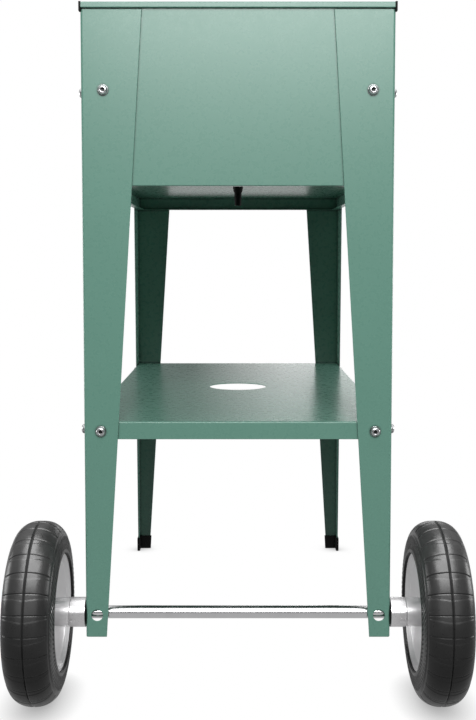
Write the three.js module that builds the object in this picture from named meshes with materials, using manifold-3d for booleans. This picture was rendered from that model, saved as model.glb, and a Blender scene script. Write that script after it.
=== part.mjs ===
// Plant trolley: a raised sheet-steel planter on four tapered angle legs, with a shelf, wheels and feet.
// Millimetres, +Z up, floor at z = 0, wheels at the -Y end, origin at the middle of the bounding box's base.
import * as THREE from "three";
import { mergeVertices } from "three/addons/utils/BufferGeometryUtils.js";
import Module from "manifold-3d";

const wasm = await Module();
wasm.setup();

// ---- driving dimensions ----
const GAP = 0.15; // between sheets that are clamped together
const LEGS_ACROSS = 343.6; // outer face to outer face, along X
const LEGS_ALONG = 643; // outer face to outer face, along Y
const RIM_Z = 783.7; // top of the planter's folded rim
const PANEL_BOTTOM_Z = 585;
const SHELF_TOP_Z = 323.2;
const PLANTER_BOLT_Z = 689;
const SHELF_BOLT_Z = 312.5;

const LEG = { sheet: 1.5, topZ: RIM_Z - 7.4, wideZ: 775, wide: 67, taper: 0.0625, bend: 2.5 };
const FRONT_LEG_BOTTOM_Z = 77.6;
const REAR_LEG_BOTTOM_Z = 3;

const PANEL = { sheet: 1, lip: 10 };
const HEM = { tall: 6.4, endProud: 1.8, sideProud: 1.5, shorter: 0.8, sideStart: 6 };
const CAP = { below: 9.8, above: 0.5, proud: 0.3, radius: 1.6 };
const TRAY = { sheet: 1.2, tall: 20 };
const SHELF_HOLE_RADIUS = 40;

const BOLT = { radius: 3, washer: 6, washerTall: 1.6, head: 5.25, headTall: 3.3, socket: 2.3, socketDeep: 1.9 };
const NUT = { acrossCorners: 11.5, tall: 5, thread: 1.5 };
const BOLT_HOLE_RADIUS = 3.3;
const PLANTER_BOLT_INSET = 24; // from the leg's outer corner
const SHELF_BOLT_INSET = 18.6;

const AXLE = { radius: 7.15, inset: 12.5, overhang: 22, chamfer: 0.8, running: 0.05 };
const AXLE_HOLE_RADIUS = 7.3; // through the side flange
const SPARE_HOLE_RADIUS = 6.6; // its twin in the end flange
const WHEEL = { centre: 226.4, radius: 102.5 };
const TYRE = { half: 27.4, widestAt: 76, fullness: 2.3, beadHalf: 28.4, beadRadius: 67 };
const RIM = {
  lipRadius: 65.8, lipFlat: 62.6, lipFace: 25.6, lipInner: 22.8,
  seat: 59.5, barrel: 55.5, hub: 16, bore: 9.15,
};
const HUB = { inner: 35.6, outer: 17, cavityRadius: 20 };
const DISH = { edge: 20.6, hubInner: 14, wall: 3.2, edgeRadius: 58, ventRadius: 3.5, ventRing: 38, vents: 5 };
const BUSH = { radius: 9, long: 10 };
const SPACER = { radius: 16.6, end: 190.4 };
const LEG_WASHER = { radius: 14, tall: 1 };
const AXLE_CAP = { radius: 11, from: 17.5, to: 24 };

const FOOT = { tall: 22, wall: 1.6, clearance: 0.2 };
const DRAIN = {
  bore: 3.5, stemTop: 5.3, stemTip: 4.7, tipZ: 578, flange: 13, flangeTall: 2, hole: 5.6,
  sealRadius: 11, sealTall: 1.5, nutTop: 7.1, nutBottom: 6, nutTall: 8, nutBore: 5.5,
};

const ROUND = { bolt: 10, hole: 10, vent: 8, shaft: 24, wheel: 36, drain: 16, shelfHole: 40 };

// ---- places that follow from them ----
const FLOOR_TOP_Z = PANEL_BOTTOM_Z + PANEL.sheet + GAP + TRAY.tall;
const AXLE_Z = WHEEL.radius;
const WHEEL_FRONT = AXLE.inset - WHEEL.radius; // along Y, from the front legs' outer face
const BOLT_REAR = LEGS_ALONG + GAP + BOLT.washerTall + BOLT.headTall;
const FRONT_Y = -(WHEEL_FRONT + BOLT_REAR) / 2;
const REAR_Y = FRONT_Y + LEGS_ALONG;
const CENTRE_Y = (FRONT_Y + REAR_Y) / 2;
const AXLE_Y = FRONT_Y + AXLE.inset;
const PANEL_OUTSIDE = LEG.sheet + GAP; // inwards from a leg's outer face
const PANEL_INSIDE = PANEL_OUTSIDE + PANEL.sheet;

// ---- materials ----
const paint = (color, roughness, metalness) => new THREE.MeshStandardMaterial({ color, roughness, metalness });
const MATERIALS = {
  green: paint(0x6fa08f, 0.4, 0),
  zinc: paint(0xc9ccce, 0.25, 1),
  chrome: paint(0xd8dadb, 0.12, 1),
  spacer: paint(0xb9bcbd, 0.35, 0.8),
  tyre: paint(0x1b1b1c, 0.75, 0),
  rim: paint(0x8d8c8e, 0.4, 0.1),
  black: paint(0x141414, 0.5, 0),
  nylon: paint(0xd9d6cc, 0.5, 0),
};

// ---- solids ----
function solidOf(geometry) {
  const bare = geometry.index ? geometry.toNonIndexed() : geometry.clone();
  bare.deleteAttribute("normal");
  bare.deleteAttribute("uv");
  const merged = mergeVertices(bare, 1e-4);
  return new wasm.Manifold(
    new wasm.Mesh({
      numProp: 3,
      vertProperties: merged.attributes.position.array,
      triVerts: new Uint32Array(merged.index.array),
    }),
  );
}

function geometryOf(solid) {
  const { vertProperties, triVerts } = solid.getMesh();
  const geometry = new THREE.BufferGeometry();
  geometry.setAttribute("position", new THREE.BufferAttribute(vertProperties, 3));
  geometry.setIndex(new THREE.BufferAttribute(triVerts, 1));
  const flat = geometry.toNonIndexed();
  flat.computeVertexNormals();
  return flat;
}

function cut(geometry, ...tools) {
  return geometryOf(tools.reduce((left, tool) => left.subtract(solidOf(tool)), solidOf(geometry)));
}

function join(geometry, ...others) {
  return geometryOf(others.reduce((whole, other) => whole.add(solidOf(other)), solidOf(geometry)));
}

function part(name, geometry, material) {
  const mesh = new THREE.Mesh(geometry, MATERIALS[material]);
  mesh.name = name;
  return mesh;
}

// A box from its lowest to its highest corner.
function box([x0, y0, z0], [x1, y1, z1]) {
  const geometry = new THREE.BoxGeometry(x1 - x0, y1 - y0, z1 - z0);
  return geometry.translate((x0 + x1) / 2, (y0 + y1) / 2, (z0 + z1) / 2);
}

// A cylinder through a point, along one axis.
function rod(radius, length, axis, [x, y, z], sides) {
  const geometry = new THREE.CylinderGeometry(radius, radius, length, sides);
  if (axis === "x") geometry.rotateZ(-Math.PI / 2);
  if (axis === "z") geometry.rotateX(Math.PI / 2);
  return geometry.translate(x, y, z);
}

// A solid of revolution about Z. Points are [radius, height], upwards along the outside.
function turned(points, sides) {
  const profile = points.map(([radius, height]) => new THREE.Vector2(radius, height));
  return new THREE.LatheGeometry(profile, sides).rotateX(Math.PI / 2);
}

// A ring of revolution about Z: its section closes on itself.
function ring(points, sides) {
  return turned([...points, points[0]], sides);
}

function shapeOf(points) {
  return new THREE.Shape(points.map(([a, b]) => new THREE.Vector2(a, b)));
}

// An outline in the XY plane, pushed up from z0 to z1.
function prism(shape, z0, z1) {
  const extruded = new THREE.ExtrudeGeometry(shape, { depth: z1 - z0, bevelEnabled: false, curveSegments: 6 });
  return extruded.translate(0, 0, z0);
}

// ---- planter ----
// A folded wall: x runs inwards from the leg's outer face, y is the height. An inward lip at the bottom,
// an outward hem at the top that closes back over the legs' top edges.
function wallSection(proud) {
  const hemBottom = RIM_Z - HEM.tall;
  return shapeOf([
    [PANEL_OUTSIDE, PANEL_BOTTOM_Z],
    [PANEL_INSIDE + PANEL.lip, PANEL_BOTTOM_Z],
    [PANEL_INSIDE + PANEL.lip, PANEL_BOTTOM_Z + PANEL.sheet],
    [PANEL_INSIDE, PANEL_BOTTOM_Z + PANEL.sheet],
    [PANEL_INSIDE, RIM_Z],
    [-proud, RIM_Z],
    [-proud, hemBottom],
    [1, hemBottom],
    [1, hemBottom + PANEL.sheet],
    [PANEL.sheet - proud, hemBottom + PANEL.sheet],
    [PANEL.sheet - proud, RIM_Z - PANEL.sheet],
    [PANEL_OUTSIDE, RIM_Z - PANEL.sheet],
  ]);
}

// A wall of the given length, its outer leg plane at y = 0, running along X and centred there.
function wall(proud, length, boltInset, wallHalf, hemHalf, lipHalf) {
  const blank = new THREE.ExtrudeGeometry(wallSection(proud), { depth: length, bevelEnabled: false });
  blank.translate(0, 0, -length / 2).rotateX(Math.PI / 2).rotateZ(Math.PI / 2);
  const far = length;
  const trims = [-1, 1].flatMap((end) => {
    const slice = (from, low, high, y0, y1) =>
      box([Math.min(end * from, end * far), y0, low], [Math.max(end * from, end * far), y1, high]);
    return [
      slice(wallHalf, PANEL_BOTTOM_Z - 5, RIM_Z - HEM.tall - 1, -20, 30),
      slice(wallHalf, RIM_Z - HEM.tall - 2, RIM_Z + 5, PANEL_OUTSIDE - 0.01, 30),
      slice(hemHalf, RIM_Z - HEM.tall - 2, RIM_Z + 5, -20, PANEL_OUTSIDE),
      slice(lipHalf, PANEL_BOTTOM_Z - 5, PANEL_BOTTOM_Z + PANEL.sheet + 1, PANEL_INSIDE, 30),
      rod(BOLT_HOLE_RADIUS, 10, "y", [end * boltInset, PANEL_INSIDE, PLANTER_BOLT_Z], ROUND.hole),
    ];
  });
  return cut(blank, ...trims);
}

function endPanel(name) {
  const half = LEGS_ACROSS / 2;
  const geometry = wall(
    HEM.endProud, LEGS_ACROSS + 20, half - PLANTER_BOLT_INSET,
    half - PANEL_OUTSIDE, half - HEM.shorter, half - PANEL_INSIDE - GAP,
  );
  return part(name, geometry, "green");
}

function sidePanel(name) {
  const half = LEGS_ALONG / 2;
  const geometry = wall(
    HEM.sideProud, LEGS_ALONG + 20, half - PLANTER_BOLT_INSET,
    half - PANEL_INSIDE - GAP, half - HEM.sideStart, half - PANEL_INSIDE - PANEL.lip - GAP,
  );
  return part(name, geometry, "green");
}

// A tray of sheet with its edges turned down: half sizes along X and Y, its top face at z = 0.
function tray(halfX, halfY) {
  const outside = box([-halfX, -halfY, -TRAY.tall], [halfX, halfY, 0]);
  const x = halfX - TRAY.sheet;
  const y = halfY - TRAY.sheet;
  return cut(outside, box([-x, -y, -TRAY.tall - 5], [x, y, -TRAY.sheet]));
}

function planterFloor() {
  const inside = PANEL_INSIDE + 2 * GAP;
  const drainHole = rod(DRAIN.hole, 10, "z", [0, 0, 0], ROUND.drain);
  const floor = part(
    "planter_floor",
    cut(tray(LEGS_ACROSS / 2 - inside, LEGS_ALONG / 2 - inside), drainHole),
    "green",
  );
  floor.position.set(0, CENTRE_Y, FLOOR_TOP_Z);
  return floor;
}

function planter() {
  const group = new THREE.Group();
  const front = endPanel("front_panel");
  front.position.y = FRONT_Y;
  const rear = endPanel("rear_panel");
  rear.position.y = REAR_Y;
  rear.rotation.z = Math.PI;
  const left = sidePanel("left_side_panel");
  left.position.set(-LEGS_ACROSS / 2, CENTRE_Y, 0);
  left.rotation.z = -Math.PI / 2;
  const right = sidePanel("right_side_panel");
  right.position.set(LEGS_ACROSS / 2, CENTRE_Y, 0);
  right.rotation.z = Math.PI / 2;
  group.add(front, rear, left, right, planterFloor(), drain());
  return group;
}

// ---- drain ----
function drain() {
  const group = new THREE.Group();
  const sealTop = DRAIN.sealTall + GAP;
  const flangeBottom = sealTop + GAP;
  const nutTop = -TRAY.sheet - GAP;
  const tip = DRAIN.tipZ - FLOOR_TOP_Z;
  const spout = ring(
    [
      [DRAIN.bore, tip],
      [DRAIN.stemTip - 0.7, tip],
      [DRAIN.stemTip, tip + 1.2],
      [DRAIN.stemTop, nutTop],
      [DRAIN.stemTop, flangeBottom],
      [DRAIN.flange, flangeBottom],
      [DRAIN.flange - 0.6, flangeBottom + DRAIN.flangeTall],
      [DRAIN.bore, flangeBottom + DRAIN.flangeTall],
    ],
    ROUND.drain,
  );
  const seal = ring(
    [
      [DRAIN.hole, GAP],
      [DRAIN.sealRadius, GAP],
      [DRAIN.sealRadius, sealTop],
      [DRAIN.hole, sealTop],
    ],
    ROUND.drain,
  );
  const nut = ring(
    [
      [DRAIN.nutBore, nutTop - DRAIN.nutTall],
      [DRAIN.nutBottom, nutTop - DRAIN.nutTall],
      [DRAIN.nutTop, nutTop],
      [DRAIN.nutBore, nutTop],
    ],
    ROUND.drain,
  );
  group.add(part("drain_spout", spout, "black"), part("drain_seal", seal, "tyre"));
  group.add(part("drain_nut", nut, "black"));
  group.position.set(0, CENTRE_Y, FLOOR_TOP_Z);
  return group;
}

// ---- legs ----
function flangeWidth(z) {
  return LEG.wide - (LEG.wideZ - z) * LEG.taper;
}

// The angle's section at one width, corner at the origin, flanges along +X and +Y. grow pushes every side out.
function angleSection(width, grow) {
  const outer = -grow;
  const inner = LEG.sheet + grow;
  const tip = width + grow;
  const radius = LEG.bend + grow;
  const arc = [0, 1, 2, 3, 4].map((step) => {
    const turn = (step / 4) * (Math.PI / 2);
    return [outer + radius * (1 - Math.sin(turn)), outer + radius * (1 - Math.cos(turn))];
  });
  return [...arc.reverse(), [tip, outer], [tip, inner], [inner, inner], [inner, tip], [outer, tip]];
}

// A tapered angle between two heights.
function taperedAngle(z0, z1, grow) {
  const low = angleSection(flangeWidth(z0), grow);
  const high = angleSection(flangeWidth(z1), grow);
  const count = low.length;
  const points = [...low.map(([x, y]) => [x, y, z0]), ...high.map(([x, y]) => [x, y, z1])];
  const faces = THREE.ShapeUtils.triangulateShape(low.map(([x, y]) => new THREE.Vector2(x, y)), []);
  const index = [];
  faces.forEach(([a, b, c]) => index.push(c, b, a, a + count, b + count, c + count));
  for (let i = 0; i < count; i++) {
    const next = (i + 1) % count;
    index.push(i, next, next + count, i, next + count, i + count);
  }
  const geometry = new THREE.BufferGeometry();
  geometry.setAttribute("position", new THREE.Float32BufferAttribute(points.flat(), 3));
  geometry.setIndex(index);
  return geometry;
}

function leg(name, bottom, isFront) {
  const holes = [
    [PLANTER_BOLT_INSET, PLANTER_BOLT_Z, BOLT_HOLE_RADIUS, ROUND.hole],
    [SHELF_BOLT_INSET, SHELF_BOLT_Z, BOLT_HOLE_RADIUS, ROUND.hole],
  ];
  const tools = holes.flatMap(([inset, z, radius, sides]) => [
    rod(radius, 8, "y", [inset, 0, z], sides),
    rod(radius, 8, "x", [0, inset, z], sides),
  ]);
  if (isFront) {
    tools.push(rod(AXLE_HOLE_RADIUS, 8, "x", [0, AXLE.inset, AXLE_Z], ROUND.shaft));
    tools.push(rod(SPARE_HOLE_RADIUS, 8, "y", [AXLE.inset, 0, AXLE_Z], ROUND.shaft));
  }
  return part(name, cut(taperedAngle(bottom, LEG.topZ, 0), ...tools), "green");
}

// A corner plug that closes the ends of two hems and hooks over the leg's top corner.
function cornerCap(name) {
  const left = -HEM.sideProud - CAP.proud;
  const front = -HEM.endProud - CAP.proud;
  const backEnd = HEM.sideStart - GAP;
  const right = HEM.shorter - GAP;
  const shape = new THREE.Shape();
  shape.moveTo(right, front);
  shape.lineTo(right, PANEL_INSIDE + GAP);
  shape.lineTo(PANEL_OUTSIDE - GAP, PANEL_INSIDE + GAP);
  shape.lineTo(PANEL_OUTSIDE - GAP, backEnd);
  shape.lineTo(left, backEnd);
  shape.lineTo(left, front + CAP.radius);
  shape.absarc(left + CAP.radius, front + CAP.radius, CAP.radius, Math.PI, 1.5 * Math.PI);
  const solid = prism(shape, RIM_Z - CAP.below, RIM_Z + CAP.above);
  const legRoom = box([-GAP, -GAP, RIM_Z - 20], [20, 20, LEG.topZ + GAP]);
  return part(name, cut(solid, legRoom), "black");
}

function footCap(name) {
  const sleeve = taperedAngle(0, FOOT.tall, FOOT.wall);
  const pocket = taperedAngle(REAR_LEG_BOTTOM_Z - FOOT.clearance, FOOT.tall + 5, FOOT.clearance);
  return part(name, cut(sleeve, pocket), "black");
}

// ---- fasteners ----
// A button-head bolt with its washer and nut, head outwards along +Z, the leg's outer face at z = 0.
function boltGeometry() {
  const underHead = GAP + BOLT.washerTall;
  const headTop = underHead + BOLT.headTall;
  const nutFrom = -(PANEL_INSIDE + TRAY.sheet - PANEL.sheet + GAP);
  const tip = nutFrom - NUT.tall - NUT.thread;
  const bolt = turned(
    [
      [0, tip],
      [BOLT.radius, tip],
      [BOLT.radius, GAP],
      [BOLT.washer, GAP],
      [BOLT.washer, underHead],
      [BOLT.head, underHead],
      [BOLT.head * 0.86, underHead + BOLT.headTall * 0.62],
      [BOLT.socket * 1.1, headTop],
      [BOLT.socket, headTop - BOLT.socketDeep],
      [0, headTop - BOLT.socketDeep],
    ],
    ROUND.bolt,
  );
  const nut = rod(NUT.acrossCorners / 2, NUT.tall, "z", [0, 0, nutFrom - NUT.tall / 2], 6);
  return join(bolt, nut);
}

// The four bolts of one leg: one through each flange, at the planter and at the shelf.
function legBolts(corner) {
  const group = new THREE.Group();
  const rows = [
    ["planter", PLANTER_BOLT_INSET, PLANTER_BOLT_Z],
    ["shelf", SHELF_BOLT_INSET, SHELF_BOLT_Z],
  ];
  for (const [row, inset, z] of rows) {
    const end = part(`bolt_${corner}_${row}_end`, boltGeometry(), "zinc");
    end.position.set(inset, 0, z);
    end.rotation.x = Math.PI / 2;
    const side = part(`bolt_${corner}_${row}_side`, boltGeometry(), "zinc");
    side.position.set(0, inset, z);
    side.rotation.y = -Math.PI / 2;
    group.add(end, side);
  }
  return group;
}

// One corner of the frame, with its outer edge at the group's origin and the trolley towards +X and +Y.
function corner(side, end) {
  const isFront = end === "front";
  const group = new THREE.Group();
  group.position.set(side === "left" ? -LEGS_ACROSS / 2 : LEGS_ACROSS / 2, isFront ? FRONT_Y : REAR_Y, 0);
  group.scale.set(side === "left" ? 1 : -1, isFront ? 1 : -1, 1);
  const bottom = isFront ? FRONT_LEG_BOTTOM_Z : REAR_LEG_BOTTOM_Z;
  group.add(leg(`${end}_${side}_leg`, bottom, isFront));
  group.add(cornerCap(`${end}_${side}_rim_cap`));
  group.add(legBolts(`${end}_${side}`));
  if (!isFront) group.add(footCap(`${side}_foot_cap`));
  return group;
}

// ---- shelf ----
function shelf() {
  const halfX = LEGS_ACROSS / 2 - PANEL_OUTSIDE;
  const halfY = LEGS_ALONG / 2 - PANEL_OUTSIDE;
  const boltX = LEGS_ACROSS / 2 - SHELF_BOLT_INSET;
  const boltY = LEGS_ALONG / 2 - SHELF_BOLT_INSET;
  const z = SHELF_BOLT_Z - SHELF_TOP_Z;
  const tools = [rod(SHELF_HOLE_RADIUS, 10, "z", [0, 0, 0], ROUND.shelfHole)];
  for (const end of [-1, 1]) {
    tools.push(rod(BOLT_HOLE_RADIUS, LEGS_ALONG + 20, "y", [end * boltX, 0, z], ROUND.hole));
    tools.push(rod(BOLT_HOLE_RADIUS, LEGS_ACROSS + 20, "x", [0, end * boltY, z], ROUND.hole));
  }
  const mesh = part("shelf", cut(tray(halfX, halfY), ...tools), "green");
  mesh.position.set(0, CENTRE_Y, SHELF_TOP_Z);
  return mesh;
}

// ---- axle and wheels ----
function axle() {
  const half = WHEEL.centre + AXLE.overhang;
  const inner = AXLE.radius - AXLE.chamfer;
  const geometry = turned(
    [
      [0, -half],
      [inner, -half],
      [AXLE.radius, -half + AXLE.chamfer],
      [AXLE.radius, half - AXLE.chamfer],
      [inner, half],
      [0, half],
    ],
    ROUND.shaft,
  );
  return part("axle", geometry, "chrome");
}

// A plain tube about the wheel's axis, between two distances from the trolley's middle plane.
function tube(bore, radius, from, to) {
  return ring([[bore, from], [radius, from], [radius, to], [bore, to]], ROUND.shaft);
}

// The radius of a faceted bore whose flats clear a shaft of the given radius.
function boreAround(radius, clearance) {
  return (radius + clearance) / Math.cos(Math.PI / ROUND.shaft);
}

// The tyre's outside, from the middle of the tread to the bead, as [radius, distance from the middle].
function tyreOutline() {
  const tall = WHEEL.radius - TYRE.widestAt;
  const treads = [0, 0.25, 0.45, 0.62, 0.76, 0.87, 0.95, 1].map((share) => [
    TYRE.widestAt + tall * (1 - share ** TYRE.fullness) ** (1 / TYRE.fullness),
    TYRE.half * share,
  ]);
  const walls = [0.35, 0.7, 1].map((share) => [
    TYRE.widestAt - (TYRE.widestAt - TYRE.beadRadius) * share,
    TYRE.half - (TYRE.half - TYRE.beadHalf) * share ** 2,
  ]);
  return [...treads, ...walls];
}

function tyre(name) {
  const seatHalf = RIM.lipInner - 0.4;
  const upper = [...tyreOutline(), [TYRE.beadRadius, seatHalf], [RIM.seat + 0.3, seatHalf]].reverse();
  const lower = upper.slice(0, -1).map(([r, s]) => [r, -s]).reverse();
  return part(name, ring([...upper, ...lower].reverse(), ROUND.wheel), "tyre");
}

// The moulded wheel: hub tube, two dished faces and the tyre's barrel. +Z is away from the trolley.
function rim(name) {
  const shell = ring(
    [
      [RIM.bore, -HUB.inner],
      [RIM.hub, -HUB.inner],
      [RIM.hub, -DISH.hubInner],
      [DISH.edgeRadius, -DISH.edge],
      [RIM.lipFlat, -RIM.lipFace],
      [RIM.lipRadius, -RIM.lipFace],
      [RIM.lipRadius, -RIM.lipInner],
      [RIM.seat, -RIM.lipInner],
      [RIM.seat, RIM.lipInner],
      [RIM.lipRadius, RIM.lipInner],
      [RIM.lipRadius, RIM.lipFace],
      [RIM.lipFlat, RIM.lipFace],
      [DISH.edgeRadius, DISH.edge],
      [RIM.hub, HUB.outer],
      [RIM.bore, HUB.outer],
    ],
    ROUND.wheel,
  );
  const cavity = ring(
    [
      [HUB.cavityRadius, DISH.wall - DISH.hubInner],
      [RIM.barrel, DISH.wall - DISH.edge],
      [RIM.barrel, DISH.edge - DISH.wall - 1],
      [HUB.cavityRadius, HUB.outer - DISH.wall],
    ],
    ROUND.wheel,
  );
  const vents = Array.from({ length: DISH.vents }, (_, i) => {
    const turn = (i * 2 * Math.PI) / DISH.vents;
    const at = [DISH.ventRing * Math.cos(turn), DISH.ventRing * Math.sin(turn), DISH.edge];
    return rod(DISH.ventRadius, 24, "z", at, ROUND.vent);
  });
  return part(name, cut(shell, cavity, ...vents), "rim");
}

function axleCap(name) {
  const bore = boreAround(AXLE.radius, AXLE.running);
  const geometry = turned(
    [
      [0, AXLE.overhang + GAP],
      [bore, AXLE.overhang + GAP],
      [bore, AXLE_CAP.from],
      [AXLE_CAP.radius, AXLE_CAP.from],
      [AXLE_CAP.radius, AXLE_CAP.to - 1.5],
      [AXLE_CAP.radius - 2, AXLE_CAP.to],
      [0, AXLE_CAP.to],
    ],
    ROUND.shaft,
  );
  return part(name, geometry, "black");
}

// Everything on one end of the axle, built along +Z from the trolley's middle plane.
function wheelEnd(side) {
  const group = new THREE.Group();
  const bore = boreAround(AXLE.radius, AXLE.running);
  const legFace = LEGS_ACROSS / 2 + GAP;
  const washerEnd = legFace + LEG_WASHER.tall;
  group.add(part(`${side}_leg_washer`, tube(bore, LEG_WASHER.radius, legFace, washerEnd), "black"));
  group.add(part(`${side}_spacer`, tube(bore, SPACER.radius, washerEnd + GAP, SPACER.end), "spacer"));
  const wheel = new THREE.Group();
  wheel.position.z = WHEEL.centre;
  wheel.add(tyre(`${side}_tyre`), rim(`${side}_rim`), axleCap(`${side}_axle_cap`));
  const inner = tube(bore, BUSH.radius, -HUB.inner, -HUB.inner + BUSH.long);
  const outer = tube(bore, BUSH.radius, HUB.outer - BUSH.long, HUB.outer);
  wheel.add(part(`${side}_inner_bush`, inner, "nylon"), part(`${side}_outer_bush`, outer, "nylon"));
  group.add(wheel);
  group.rotation.y = side === "left" ? -Math.PI / 2 : Math.PI / 2;
  return group;
}

function undercarriage() {
  const group = new THREE.Group();
  const shaft = axle();
  shaft.rotation.y = Math.PI / 2;
  group.add(shaft, wheelEnd("left"), wheelEnd("right"));
  group.position.set(0, AXLE_Y, AXLE_Z);
  return group;
}

const trolley = new THREE.Group();
trolley.add(planter(), shelf(), undercarriage());
for (const side of ["left", "right"]) {
  for (const end of ["front", "rear"]) trolley.add(corner(side, end));
}

export default trolley;
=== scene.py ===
import math

import bmesh
import bpy
import numpy as np
from mathutils import Matrix, Vector


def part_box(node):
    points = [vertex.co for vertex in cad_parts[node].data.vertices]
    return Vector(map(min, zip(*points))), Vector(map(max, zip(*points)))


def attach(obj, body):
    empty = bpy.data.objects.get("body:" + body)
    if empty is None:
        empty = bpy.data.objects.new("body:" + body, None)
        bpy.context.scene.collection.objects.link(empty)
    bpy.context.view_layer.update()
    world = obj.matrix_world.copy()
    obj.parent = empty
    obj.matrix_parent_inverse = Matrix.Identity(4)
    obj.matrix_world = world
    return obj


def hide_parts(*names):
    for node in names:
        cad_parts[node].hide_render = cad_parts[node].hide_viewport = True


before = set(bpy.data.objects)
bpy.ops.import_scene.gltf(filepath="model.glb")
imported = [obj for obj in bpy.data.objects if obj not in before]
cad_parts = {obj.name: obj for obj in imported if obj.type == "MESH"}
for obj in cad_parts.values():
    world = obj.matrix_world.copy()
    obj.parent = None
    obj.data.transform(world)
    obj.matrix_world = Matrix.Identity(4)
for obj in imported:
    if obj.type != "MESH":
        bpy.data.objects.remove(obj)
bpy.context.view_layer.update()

# A plant trolley: a sheet-steel planter on four tapered angle legs, with a shelf, two wheels and two feet.
# Sizes are in millimetres and become metres where a mesh is made. The wheel end faces -Y.

MM = 0.001


def span(node):
    """The lowest and highest corner of a CAD node, in millimetres."""
    low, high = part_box(node)
    return low / MM, high / MM


# ---- sizes shared with the CAD part ----
LEG_LOW, LEG_HIGH = span("front_left_leg")
REAR_LOW, REAR_HIGH = span("rear_right_leg")
HALF_ACROSS = REAR_HIGH.x
FRONT_Y = LEG_LOW.y
REAR_Y = REAR_HIGH.y
CENTRE_Y = (FRONT_Y + REAR_Y) / 2
HALF_ALONG = (REAR_Y - FRONT_Y) / 2
FRONT_LEG_FOOT_Z = LEG_LOW.z
REAR_LEG_FOOT_Z = REAR_LOW.z
LEG_TOP_Z = LEG_HIGH.z
RIM_Z = span("front_panel")[1].z
PANEL_BOTTOM_Z = span("front_panel")[0].z
SHELF_TOP_Z = span("shelf")[1].z
FLOOR_TOP_Z = span("planter_floor")[1].z
AXLE_Y = (span("axle")[0].y + span("axle")[1].y) / 2
AXLE_Z = (span("axle")[0].z + span("axle")[1].z) / 2
WHEEL_X = (span("right_tyre")[0].x + span("right_tyre")[1].x) / 2

GAP = 0.15
LEG_SHEET = 1.5
LEG_WIDE = 67
LEG_WIDE_Z = 775
LEG_TAPER = 0.0625
LEG_BEND = 1.75
PANEL_SHEET = 1
PANEL_BEND = 0.55
PANEL_IN = LEG_SHEET + GAP
LIP = 10
TRAY_SHEET = 1.2
TRAY_TALL = 20
HEM_TALL = 6.4
DRAIN_HOLE = 5.6
SHELF_HOLE = 40
AXLE_RADIUS = 7.15
AXLE_PLAY = 0.1
PLANTER_BOLT = (24, 689)
SHELF_BOLT = (18.6, 312.5)


# ---- mesh making ----
def add_piece(name, verts, faces, body, material, nodes=(), sharp=35):
    """Makes an object from millimetre vertices, turns its faces outwards and hangs it on a CAD body."""
    mesh = bpy.data.meshes.new(name)
    mesh.from_pydata([tuple(c * MM for c in v) for v in verts], [], faces)
    obj = bpy.data.objects.new(name, mesh)
    bpy.context.scene.collection.objects.link(obj)
    tidy_mesh(mesh, sharp)
    dress(obj, body, material, nodes)
    return obj


def tidy_mesh(mesh, sharp):
    bm = bmesh.new()
    bm.from_mesh(mesh)
    bmesh.ops.remove_doubles(bm, verts=bm.verts, dist=0.002 * MM)
    bmesh.ops.dissolve_degenerate(bm, dist=0.001 * MM, edges=bm.edges)
    bmesh.ops.recalc_face_normals(bm, faces=bm.faces)
    bm.to_mesh(mesh)
    bm.free()
    mesh.shade_smooth()
    mesh.set_sharp_from_angle(angle=math.radians(sharp))


def dress(obj, body, material, nodes):
    even = obj.modifiers.new("even_normals", "WEIGHTED_NORMAL")
    even.keep_sharp = True
    obj.data.materials.clear()
    obj.data.materials.append(material)
    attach(obj, body)
    if nodes:
        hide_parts(*nodes)


def skin(rings, closed_along=False, caps=True):
    """Joins rings of equally many points, each a loop, into one surface."""
    count = len(rings[0])
    verts = [p for ring in rings for p in ring]
    faces = []
    steps = len(rings) if closed_along else len(rings) - 1
    for k in range(steps):
        a = k * count
        b = ((k + 1) % len(rings)) * count
        for i in range(count):
            j = (i + 1) % count
            faces.append((a + i, a + j, b + j, b + i))
    if caps and not closed_along:
        faces.append(tuple(range(count)))
        faces.append(tuple(range(len(verts) - count, len(verts))))
    return verts, faces


def rounded(points, radius, steps=4):
    """A closed outline with its corners filleted. A point may carry its own radius as a third value."""
    out = []
    total = len(points)
    for i, point in enumerate(points):
        own = point[2] if len(point) > 2 else radius
        here = Vector(point[:2])
        back = Vector(points[i - 1][:2]) - here
        on = Vector(points[(i + 1) % total][:2]) - here
        out.extend(fillet(here, back, on, own, steps))
    return out


def fillet(here, back, on, radius, steps):
    bend = back.angle(on)
    if radius <= 0 or bend > math.radians(178):
        return [here]
    reach = min(radius / math.tan(bend / 2), back.length * 0.48, on.length * 0.48)
    radius = reach * math.tan(bend / 2)
    centre = here + (back.normalized() + on.normalized()).normalized() * (radius / math.sin(bend / 2))
    start = here + back.normalized() * reach - centre
    end = here + on.normalized() * reach - centre
    sweep = -start.angle_signed(end)
    points = []
    for k in range(steps + 1):
        turn = Matrix.Rotation(sweep * k / steps, 2)
        points.append(centre + turn @ start)
    return points


def turned(outline, segments, place):
    """Revolves a closed (radius, along) outline about an axis. place turns (along, a, b) into a point."""
    rings = []
    for k in range(segments):
        turn = 2 * math.pi * k / segments
        c, s = math.cos(turn), math.sin(turn)
        rings.append([place(p[1], p[0] * c, p[0] * s) for p in outline])
    return skin(rings, closed_along=True)


def along_x(side, x0, y0, z0):
    """Places a turned shape on an axis along X, its own axis pointing away from the middle."""
    return lambda along, a, b: (side * (x0 + along), y0 + a, z0 + b)


def upright(x0, y0, z0):
    return lambda along, a, b: (x0 + a, y0 + b, z0 + along)


def merged(*parts):
    """Several (verts, faces) pairs as one."""
    verts, faces = [], []
    for v, f in parts:
        base = len(verts)
        verts.extend(v)
        faces.extend(tuple(i + base for i in face) for face in f)
    return verts, faces


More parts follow.
